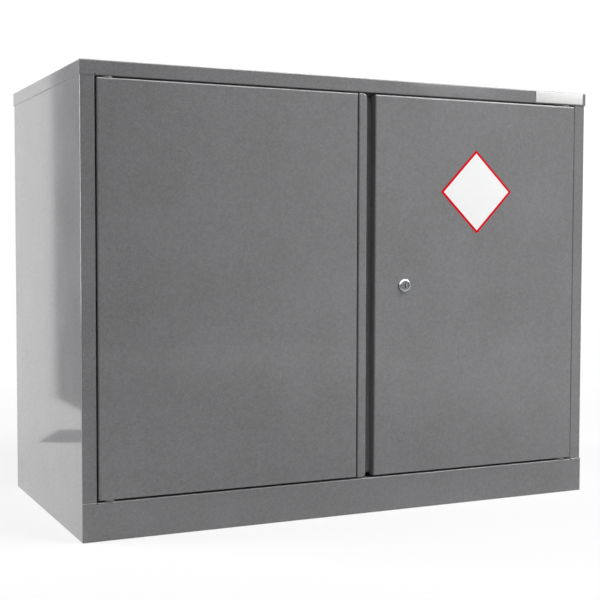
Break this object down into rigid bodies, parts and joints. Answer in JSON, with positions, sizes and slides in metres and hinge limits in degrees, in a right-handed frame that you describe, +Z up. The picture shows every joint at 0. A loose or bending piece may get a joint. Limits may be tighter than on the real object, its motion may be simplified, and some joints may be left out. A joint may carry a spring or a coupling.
{
  "type": "two-door low storage cabinet",
  "caption": "Low sheet-steel cabinet with hinged doors on corner pivots, folded finger pull, cam lock with rods, shoot bolts, spill shelf and liquid-tight base.",
  "frame": {"origin": "middle of the footprint, on the floor", "axes": "+X to the viewer's right, +Y to the back, +Z up; the doors face -Y"},
  "size_m": [0.915, 0.4635, 0.711],
  "materials": {
    "grey_powder_coat": "semi-gloss fine-texture powder coat",
    "zinc_plated_steel": "bright zinc plate",
    "lock_chrome": "polished chrome plate",
    "pale_nylon": "moulded",
    "black_rubber": "moulded"
  },
  "bodies": {
    "carcass": {"side_panel_left": "grey_powder_coat", "side_panel_right": "grey_powder_coat", "back_panel": "grey_powder_coat", "top_cap": "grey_powder_coat", "door_stop_rail": "grey_powder_coat", "plinth_front": "grey_powder_coat", "base_sump": "grey_powder_coat", "shelf_tray": "grey_powder_coat", "sill_glide": "pale_nylon", "shelf_upright_front_left": "grey_powder_coat", "shelf_clip_front_left": "zinc_plated_steel", "shelf_upright_front_right": "grey_powder_coat", "shelf_clip_front_right": "zinc_plated_steel", "shelf_upright_rear_left": "grey_powder_coat", "shelf_clip_rear_left": "zinc_plated_steel", "shelf_upright_rear_right": "grey_powder_coat", "shelf_clip_rear_right": "zinc_plated_steel", "pivot_pins_left": "zinc_plated_steel", "pivot_pins_right": "zinc_plated_steel", "door_buffers": "black_rubber"},
    "left_door": {"left_door_skin": "grey_powder_coat", "left_door_stiffener": "grey_powder_coat", "pivot_bushes_left": "pale_nylon", "door_pivot_plates_left": "zinc_plated_steel", "top_bolt_guide": "zinc_plated_steel", "bottom_bolt_guide": "zinc_plated_steel"},
    "right_door": {"right_door_skin": "grey_powder_coat", "right_door_stiffener": "grey_powder_coat", "pivot_bushes_right": "pale_nylon", "door_pivot_plates_right": "zinc_plated_steel", "finger_pull_strip": "grey_powder_coat", "lock_body": "lock_chrome", "lock_nut": "zinc_plated_steel", "upper_rod_guide": "zinc_plated_steel", "lower_rod_guide": "zinc_plated_steel"},
    "lock": {"lock_plug": "lock_chrome", "lock_crank": "zinc_plated_steel"},
    "upper_rod": {"upper_rod": "zinc_plated_steel"},
    "lower_rod": {"lower_rod": "zinc_plated_steel"},
    "top_bolt": {"top_bolt": "zinc_plated_steel"},
    "bottom_bolt": {"bottom_bolt": "zinc_plated_steel"}
  },
  "joints": [
    {"name": "left_door_hinge", "type": "hinge", "parent": "carcass", "child": "left_door", "pos_m": [-0.415, -0.2215, 0], "axis": [0, 0, -1], "range_deg": [0, 130]},
    {"name": "right_door_hinge", "type": "hinge", "parent": "carcass", "child": "right_door", "pos_m": [0.415, -0.2215, 0], "axis": [0, 0, 1], "range_deg": [0, 130]},
    {"name": "lock_turn", "type": "hinge", "parent": "right_door", "child": "lock", "pos_m": [0.087, -0.2305, 0.374], "axis": [0, 1, 0], "range_deg": [0, 90]},
    {"name": "upper_rod_slide", "type": "slide", "parent": "right_door", "child": "upper_rod", "axis": [0, 0, 1], "range_m": [0, 0.0184]},
    {"name": "lower_rod_slide", "type": "slide", "parent": "right_door", "child": "lower_rod", "axis": [0, 0, -1], "range_m": [0, 0.0184]},
    {"name": "top_bolt_slide", "type": "slide", "parent": "left_door", "child": "top_bolt", "axis": [0, 0, 1], "range_m": [0, 0.015]},
    {"name": "bottom_bolt_slide", "type": "slide", "parent": "left_door", "child": "bottom_bolt", "axis": [0, 0, -1], "range_m": [0, 0.015]}
  ],
  "couplings": [
    {"joint": "lock_turn", "follows": "upper_rod_slide", "rad_per_m": 85.3},
    {"joint": "lower_rod_slide", "follows": "upper_rod_slide", "ratio": 1}
  ]
}
